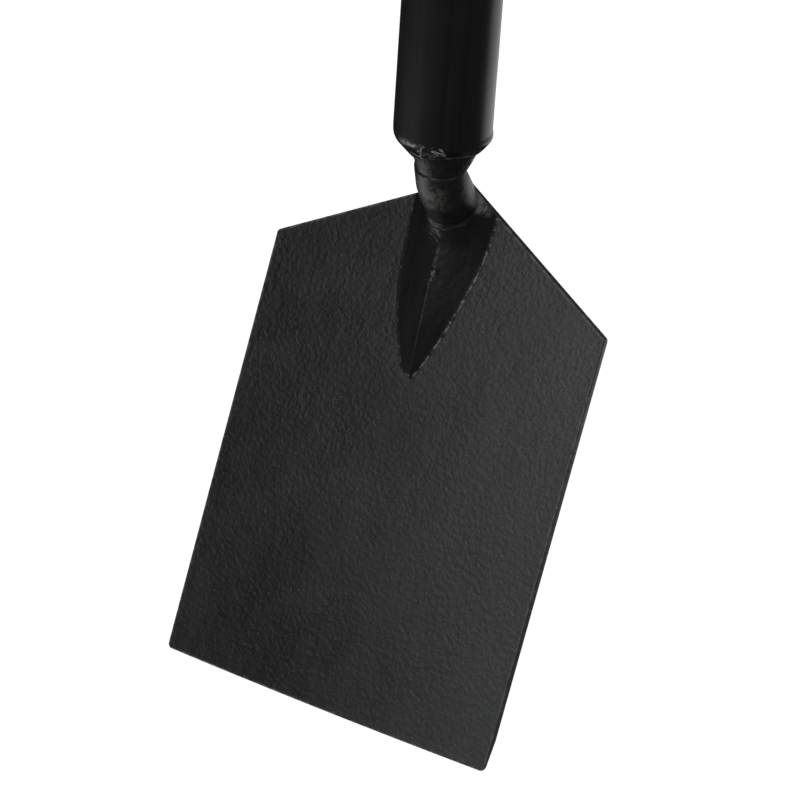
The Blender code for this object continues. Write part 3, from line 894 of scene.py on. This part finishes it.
def makeWeld(material):
    points = []
    neckAlong = Vector((0, *(neckPoints()[-2] - neckPoints()[-3]))).normalized()
    down = -(bladeUp * neckAlong.y + faceNormal * neckAlong.z)
    lean = Vector((math.cos(ferrule["leanTurn"]), math.sin(ferrule["leanTurn"]), 0)) * ferrule["lean"]
    for i in range(weld["rings"]):
        share = i / (weld["rings"] - 1)
        for j in range(weld["around"]):
            angle = 2 * math.pi * j / weld["around"]
            side = Vector((math.cos(angle), math.sin(angle), 0))
            top = neckTop + Vector((0, 0, noseRise + mouthLift(angle) + 0.0004)) + lean
            top += side * (weld["top"] - 0.0003 + noseBulge(angle))
            flat = side - down * side.dot(down)
            bottom = neckTop + down * (shank["rim"] * mm) + lean * 0.5
            bottom += flat.normalized() * (weld["bottom"] + noseBulge(angle) * 0.2)
            point = top.lerp(bottom, share)
            swell = math.sin(math.pi * share) * weld["bead"] * (0.4 - 1.6 * (1 - share))
            ripple = noise.noise(Vector((math.cos(angle) * 7, math.sin(angle) * 7, share * 3)))
            ripple = ripple * weld["ripple"]
            points.append(point + side * (swell + ripple * math.sin(math.pi * share)))
    inner = []
    for ring in (weld["rings"] - 1, 0):
        for j in range(weld["around"]):
            point = points[ring * weld["around"] + j]
            core = neckTop + (down * (shank["rim"] * mm) if ring else Vector((0, 0, noseRise)))
            inner.append(core.lerp(point, weld["core"]))
    faces = ringFaces(weld["rings"] + 2, weld["around"], closed=True)
    faces = [face[::-1] for face in faces]
    piece = makePiece("noseWeld", points + inner, faces, material)
    addAttribute(piece, "edge", np.full(len(points) + len(inner), 0.004))
    return piece


# Geometry trees: a tree is built, its inputs are set by identifier, and the result becomes a plain mesh
def newGeometryTree(name, values):
    kinds = {Vector: "NodeSocketVector", int: "NodeSocketInt", float: "NodeSocketFloat"}
    tree = bpy.data.node_groups.new(name, "GeometryNodeTree")
    tree.interface.new_socket("Geometry", in_out="INPUT", socket_type="NodeSocketGeometry")
    for label, value in values.items():
        tree.interface.new_socket(label, in_out="INPUT", socket_type=kinds[type(value)])
    tree.interface.new_socket("Geometry", in_out="OUTPUT", socket_type="NodeSocketGeometry")
    return tree, tree.nodes.new("NodeGroupInput").outputs, tree.nodes.new("NodeGroupOutput").inputs


def closeTree(tree, geometry, material, end):
    smooth = addNode(tree, "GeometryNodeSetShadeSmooth", {"Geometry": geometry})
    real = addNode(tree, "GeometryNodeRealizeInstances", {"Geometry": smooth.outputs[0]})
    painted = addNode(tree, "GeometryNodeSetMaterial", {"Geometry": real.outputs[0], "Material": material})
    tree.links.new(painted.outputs[0], end["Geometry"])


def grow(name, tree, values):
    holder = bpy.data.objects.new(name + "Seed", bpy.data.meshes.new(name + "Seed"))
    bpy.context.scene.collection.objects.link(holder)
    modifier = holder.modifiers.new("shape", "NODES")
    modifier.node_group = tree
    for socket in tree.interface.items_tree:
        if socket.in_out == "INPUT" and socket.name in values:
            modifier[socket.identifier] = values[socket.name]
    graph = bpy.context.evaluated_depsgraph_get()
    mesh = bpy.data.meshes.new_from_object(holder.evaluated_get(graph))
    holder.modifiers.clear()
    bpy.data.objects.remove(holder, do_unlink=True)
    piece = bpy.data.objects.new(name, mesh)
    mesh.name = name
    bpy.context.scene.collection.objects.link(piece)
    return piece


# Handle: a turned ash pole, grown as a tube along a straight line
handleLow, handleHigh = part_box("handle")
handle = {
    "Foot": Vector((0, handleY, handleLow.z)),
    "Length": handleHigh.z - handleLow.z,
    "Seat Radius": 0.0157,
    "Seat Length": ferruleHigh.z - handleLow.z,
    "Neck Radius": 0.0168,
    "Grip Radius": (handleHigh.x - handleLow.x) / 2,
    "Swell Start": 0.06,
    "Swell Length": 0.30,
    "Butt Flat": 0.008,
    "Butt Rounding": 0.012,
    "Rings": 420,
    "Sides": 72,
    "Waver": 0.00008,
    "Seed": 4.0,
}


def makeHandle(material):
    tree, given, end = newGeometryTree("turnedHandle", handle)
    line = addNode(tree, "GeometryNodeCurvePrimitiveLine", {"End": (0, 0, 1)})
    points = addNode(tree, "GeometryNodeResampleCurve", {"Curve": line.outputs[0], "Count": given["Rings"]})
    last = minus(tree, given["Rings"], 1.0)
    share = over(tree, addNode(tree, "GeometryNodeInputIndex").outputs[0], last)
    # rings crowd together towards the rounded butt
    back = calc(tree, "POWER", minus(tree, 1.0, share, clamp=True), 1.8)
    climb = times(tree, given["Length"], minus(tree, 1.0, back))
    spot = addNode(tree, "ShaderNodeCombineXYZ", {"Z": climb}).outputs[0]
    placed = addNode(tree, "ShaderNodeVectorMath", {0: given["Foot"], 1: spot}, operation="ADD")
    moved = addNode(tree, "GeometryNodeSetPosition",
                    {"Geometry": points.outputs[0], "Position": placed.outputs[0]})
    # foot taper, seat in the ferrule, shoulder, swell to the grip, rounded butt
    seat = ramp(tree, climb, -0.004, 0.010, 0.0105, given["Seat Radius"])
    past = plus(tree, given["Seat Length"], 0.0015)
    step = minus(tree, given["Neck Radius"], given["Seat Radius"])
    neck = ramp(tree, climb, given["Seat Length"], past, 0.0, step)
    start = plus(tree, given["Seat Length"], given["Swell Start"])
    stop = plus(tree, start, given["Swell Length"])
    growth = minus(tree, given["Grip Radius"], given["Neck Radius"])
    swell = ramp(tree, climb, start, stop, 0.0, growth)
    radius = plus(tree, plus(tree, seat, neck), swell)
    rounding = minus(tree, given["Length"], given["Butt Rounding"])
    into = over(tree, minus(tree, climb, rounding), given["Butt Rounding"], clamp=True)
    arc = calc(tree, "SQRT", minus(tree, 1.0, times(tree, into, into), clamp=True))
    cut = times(tree, minus(tree, given["Grip Radius"], given["Butt Flat"]), minus(tree, 1.0, arc))
    radius = minus(tree, radius, cut)
    circle = addNode(tree, "GeometryNodeCurvePrimitiveCircle", {"Resolution": given["Sides"], "Radius": 1.0})
    tube = addNode(tree, "GeometryNodeCurveToMesh",
                   {"Curve": moved.outputs[0], "Profile Curve": circle.outputs[0], "Scale": radius,
                    "Fill Caps": True})
    # the pole is never quite round: a slow waver, always inwards
    here = addNode(tree, "GeometryNodeInputPosition").outputs[0]
    sway = addNode(tree, "ShaderNodeTexNoise",
                   {"Vector": here, "W": given["Seed"], "Scale": 22.0, "Detail": 1.0}, noise_dimensions="4D")
    pull = times(tree, times(tree, sway.outputs[0], given["Waver"]), -1.0)
    normal = addNode(tree, "GeometryNodeInputNormal").outputs[0]
    offset = addNode(tree, "ShaderNodeVectorMath", {0: normal, 3: pull}, operation="SCALE").outputs[0]
    wavy = addNode(tree, "GeometryNodeSetPosition", {"Geometry": tube.outputs[0], "Offset": offset})
    closeTree(tree, wavy.outputs[0], material, end)
    return grow("ashHandle", tree, handle)


# Rivet: a pin with a hammered dome at each end
rivetLow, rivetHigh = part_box("rivet")
rivet = {
    "Middle": (rivetLow + rivetHigh) / 2,
    "Half Length": (rivetHigh.x - rivetLow.x) / 2,
    "Head Radius": (rivetHigh.z - rivetLow.z) / 2,
    "Head Height": 0.0022,
    "Pin Radius": 0.0030,
    "Dent": 0.00035,
    "Seed": 2.0,
}


def makeRivet(material):
    tree, given, end = newGeometryTree("peenedRivet", rivet)
    ball = addNode(tree, "GeometryNodeMeshUVSphere", {"Segments": 48, "Rings": 28, "Radius": 1.0})
    place = addNode(tree, "GeometryNodeInputPosition").outputs[0]
    parts = addNode(tree, "ShaderNodeSeparateXYZ", {"Vector": place})
    level = calc(tree, "MAXIMUM", parts.outputs["Z"], -0.12)
    # hammer flats pull the dome inwards
    flats = addNode(tree, "ShaderNodeTexVoronoi", {"Vector": place, "W": given["Seed"], "Scale": 2.6},
                    voronoi_dimensions="4D", feature="SMOOTH_F1").outputs["Distance"]
    dent = over(tree, given["Dent"], given["Head Height"])
    pull = times(tree, minus(tree, 0.7, flats, clamp=True), dent)
    pull = minus(tree, 1.0, pull)
    wide = given["Head Radius"]
    sizes = {"X": (parts.outputs["X"], wide), "Y": (parts.outputs["Y"], wide),
             "Z": (level, given["Head Height"])}
    dome = {axis: times(tree, times(tree, *pair), pull) for axis, pair in sizes.items()}
    size = addNode(tree, "ShaderNodeCombineXYZ", dome)
    head = addNode(tree, "GeometryNodeSetPosition",
                   {"Geometry": ball.outputs[0], "Position": size.outputs[0]})
    reach = minus(tree, given["Half Length"], given["Head Height"])
    start = addNode(tree, "ShaderNodeCombineXYZ", {"X": times(tree, reach, -1.0)}).outputs[0]
    stride = addNode(tree, "ShaderNodeCombineXYZ", {"X": times(tree, reach, 2.0)}).outputs[0]
    ends = addNode(tree, "GeometryNodeMeshLine", {"Count": 2, "Start Location": start, "Offset": stride})
    index = addNode(tree, "GeometryNodeInputIndex").outputs[0]
    lean = times(tree, minus(tree, index, 0.5), math.pi)
    turn = addNode(tree, "ShaderNodeCombineXYZ", {"Y": lean}).outputs[0]
    heads = addNode(tree, "GeometryNodeInstanceOnPoints",
                    {"Points": ends.outputs[0], "Instance": head.outputs[0], "Rotation": turn})
    depth = times(tree, reach, 2.0)
    pin = addNode(tree, "GeometryNodeMeshCylinder",
                  {"Vertices": 32, "Radius": given["Pin Radius"], "Depth": depth})
    laid = addNode(tree, "GeometryNodeTransform",
                   {"Geometry": pin.outputs[0], "Rotation": (0, math.pi / 2, 0)})
    joined = tree.nodes.new("GeometryNodeJoinGeometry")
    for part in (heads, laid):
        tree.links.new(part.outputs[0], joined.inputs[0])
    moved = addNode(tree, "GeometryNodeTransform",
                    {"Geometry": joined.outputs[0], "Translation": given["Middle"]})
    closeTree(tree, moved.outputs[0], material, end)
    return grow("peenedRivet", tree, rivet)


# Studio: a glowing pale floor and a pale world that reflections hardly see
studio = {
    "floorSize": 14.0,
    "floorDrop": 0.0004,  # below the cutting edge
    "floorGlow": 0.97,
    "worldDiffuse": 0.75,
    "worldGloss": 0.03,
    "worldSeen": 1.05,
}


def makeStudio():
    mesh = bpy.data.meshes.new("studioFloor")
    half = studio["floorSize"] / 2
    corners = [(-half, -half, 0), (half, -half, 0), (half, half, 0), (-half, half, 0)]
    mesh.from_pydata(corners, [], [(0, 1, 2, 3)])
    floor = bpy.data.objects.new("studioFloor", mesh)
    floor.location.z = cadBox[0][2] - studio["floorDrop"]
    bpy.context.scene.collection.objects.link(floor)
    material, _, shader = newMaterial("paleFloor")
    shader.inputs["Base Color"].default_value = (0.10, 0.10, 0.10, 1)
    shader.inputs["Roughness"].default_value = 0.9
    shader.inputs["Specular IOR Level"].default_value = 0.0
    shader.inputs["Emission Color"].default_value = (1, 1, 1, 1)
    shader.inputs["Emission Strength"].default_value = studio["floorGlow"]
    mesh.materials.append(material)
    floor.visible_glossy = False
    floor.visible_diffuse = False
    floor.visible_shadow = False

    world = bpy.data.worlds.new("studioWorld")
    world.use_nodes = True
    tree = world.node_tree
    background = tree.nodes["Background"]
    path = addNode(tree, "ShaderNodeLightPath")
    base = studio["worldDiffuse"]
    gloss = times(tree, path.outputs["Is Glossy Ray"], studio["worldGloss"] - base)
    seen = times(tree, path.outputs["Is Camera Ray"], studio["worldSeen"] - base)
    strength = plus(tree, plus(tree, gloss, seen), base)
    tree.links.new(strength, background.inputs["Strength"])
    background.inputs["Color"].default_value = (1, 1, 1, 1)
    bpy.context.scene.world = world
    bpy.context.scene.view_settings.view_transform = "Standard"


# Softboxes: where each aims, the direction it shines from as (azimuth, elevation), distance, size and power
softboxes = {
    "faceSoftbox": {"aim": (0, 0, 0.10), "from": (-7, 25), "distance": 0.85, "size": (0.40, 0.46),
                    "watts": 1.45},
    "sidePanel": {"aim": (0, 0.02, 0.27), "from": (164, -31), "distance": 0.75, "size": (0.70, 0.27),
                  "watts": 0.60},
    "lowPanel": {"aim": (0, 0.02, 0.20), "from": (-62, -43), "distance": 1.2, "size": (1.0, 0.34),
                 "watts": 2.2},
    "topSoftbox": {"aim": (0, 0, 0.30), "from": (20, 68), "distance": 2.6, "size": (1.4, 1.4), "watts": 14},
}


def makeLights():
    for name, box in softboxes.items():
        away = direction(*box["from"])
        data = bpy.data.lights.new(name, "AREA")
        data.shape = "RECTANGLE"
        data.size, data.size_y = box["size"]
        data.energy = box["watts"]
        light = bpy.data.objects.new(name, data)
        light.location = Vector(box["aim"]) + away * box["distance"]
        light.rotation_euler = away.to_track_quat("Z", "Y").to_euler()
        light.visible_camera = False
        bpy.context.scene.collection.objects.link(light)


camera = {
    "azimuth": 28.77,
    "elevation": 30.62,
    "roll": 3.90,
    "distance": 1.44,
    "aim": (-0.0110, 0.0213, 0.1012),
    "lens": 172.0,
}


def makeCamera():
    back = direction(camera["azimuth"], camera["elevation"])
    data = bpy.data.cameras.new("studioCamera")
    data.lens = camera["lens"]
    data.clip_end = 50
    item = bpy.data.objects.new("studioCamera", data)
    turn = back.to_track_quat("Z", "Y").to_matrix() @ Matrix.Rotation(math.radians(camera["roll"]), 3, "Z")
    item.matrix_world = Matrix.Translation(Vector(camera["aim"]) + back * camera["distance"]) @ turn.to_4x4()
    bpy.context.scene.collection.objects.link(item)
    bpy.context.scene.camera = item


makeCamera()
makeStudio()
makeLights()
print("studio ready")

bladePaint, bladeTree, bladeShader, bladeParts = blackPaint("bladePaint", bladeFinish)
addPaintedSideLight(bladeTree, bladeShader, bladeParts)
shankPaint, shankTree, shankShader, shankParts = blackPaint("shankPaint", shankFinish)
addScuffsAndSheen(shankTree, shankShader, shankParts, shankSheen)
weldPaint = blackPaint("weldPaint", weldFinish)[0]
ferrulePaint, ferruleTree, ferruleShader, ferruleParts = blackPaint("ferrulePaint", ferruleFinish)
addScuffsAndSheen(ferruleTree, ferruleShader, ferruleParts, ferruleScuffs)
print("paints mixed")

made = {
    "blade": makeBlade(bladePaint),
    "shank": makeShank(shankPaint),
    "ferrule": makeFerrule(ferrulePaint),
    "nose_weld": makeWeld(weldPaint),
    "handle": makeHandle(ashWood(wood)),
    "rivet": makeRivet(rivetSteel(rivetLook)),
}
for node, piece in made.items():
    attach(piece, "root")
    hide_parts(node)
    print(node, len(piece.data.polygons), "faces")
